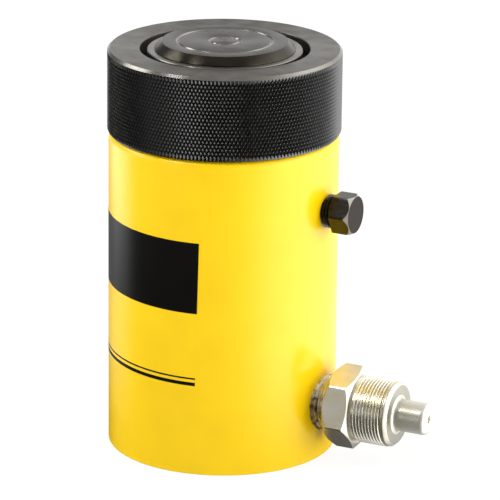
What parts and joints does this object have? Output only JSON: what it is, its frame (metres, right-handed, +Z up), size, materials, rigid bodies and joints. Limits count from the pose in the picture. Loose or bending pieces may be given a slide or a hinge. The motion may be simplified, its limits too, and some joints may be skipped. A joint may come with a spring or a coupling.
{
  "type": "lock nut hydraulic cylinder",
  "caption": "Single-acting hydraulic cylinder with a threaded plunger, knurled lock nut, grooved saddle, overflow plug and screw coupler, for lifting and holding loads.",
  "frame": {"origin": "centre of the base, on the surface that the cylinder stands on", "axes": "+Z up along the plunger, +X out along the coupler"},
  "size_m": [0.1535, 0.1032, 0.1842],
  "materials": {
    "yellow_enamel": "gloss sprayed enamel",
    "black_oxide": "black oxide on turned steel",
    "plunger_steel": "turned alloy steel, oiled",
    "saddle_steel": "turned hardened steel",
    "machined_steel": "turned steel",
    "zinc_plate": "bright zinc plate",
    "bearing_steel": "polished steel",
    "bearing_bronze": "turned bronze",
    "nitrile_rubber": "moulded rubber",
    "seal_plastic": "turned seal plastic",
    "decal_film": "printed vinyl film"
  },
  "bodies": {
    "barrel": {"barrel": "yellow_enamel", "base_plug": "machined_steel", "base_o_ring": "nitrile_rubber", "base_backup_ring": "seal_plastic", "overflow_plug": "black_oxide", "coupler_body": "zinc_plate", "coupler_nose": "zinc_plate", "nose_o_ring": "nitrile_rubber", "check_spring": "bearing_steel", "spring_seat": "machined_steel", "decal": "decal_film"},
    "plunger": {"plunger": "plunger_steel", "piston_head": "machined_steel", "piston_bolt": "black_oxide", "piston_guide_ring": "bearing_bronze", "piston_backup_ring": "seal_plastic", "piston_seal": "nitrile_rubber", "seal_retainer": "machined_steel", "retainer_snap_ring": "machined_steel", "saddle": "saddle_steel", "saddle_o_ring": "nitrile_rubber"},
    "lock_nut": {"lock_nut": "black_oxide"},
    "check_ball": {"check_ball": "bearing_steel"}
  },
  "joints": [
    {"name": "plunger_extend", "type": "slide", "parent": "barrel", "child": "plunger", "axis": [0, 0, 1], "range_m": [0, 0.075]},
    {"name": "lock_nut_turn", "type": "hinge", "parent": "barrel", "child": "lock_nut", "pos_m": [0, 0, 0.1436], "axis": [0, 0, 1], "range_deg": [-6750, 0]},
    {"name": "check_ball_open", "type": "slide", "parent": "barrel", "child": "check_ball", "axis": [-1, 0, 0], "range_m": [0, 0.0018], "stiffness_N_per_m": 800, "springref_m": -0.003, "deforming": ["check_spring"]}
  ],
  "couplings": [
    {"joint": "lock_nut_turn", "follows": "plunger_extend", "rad_per_m": -1570.8}
  ]
}
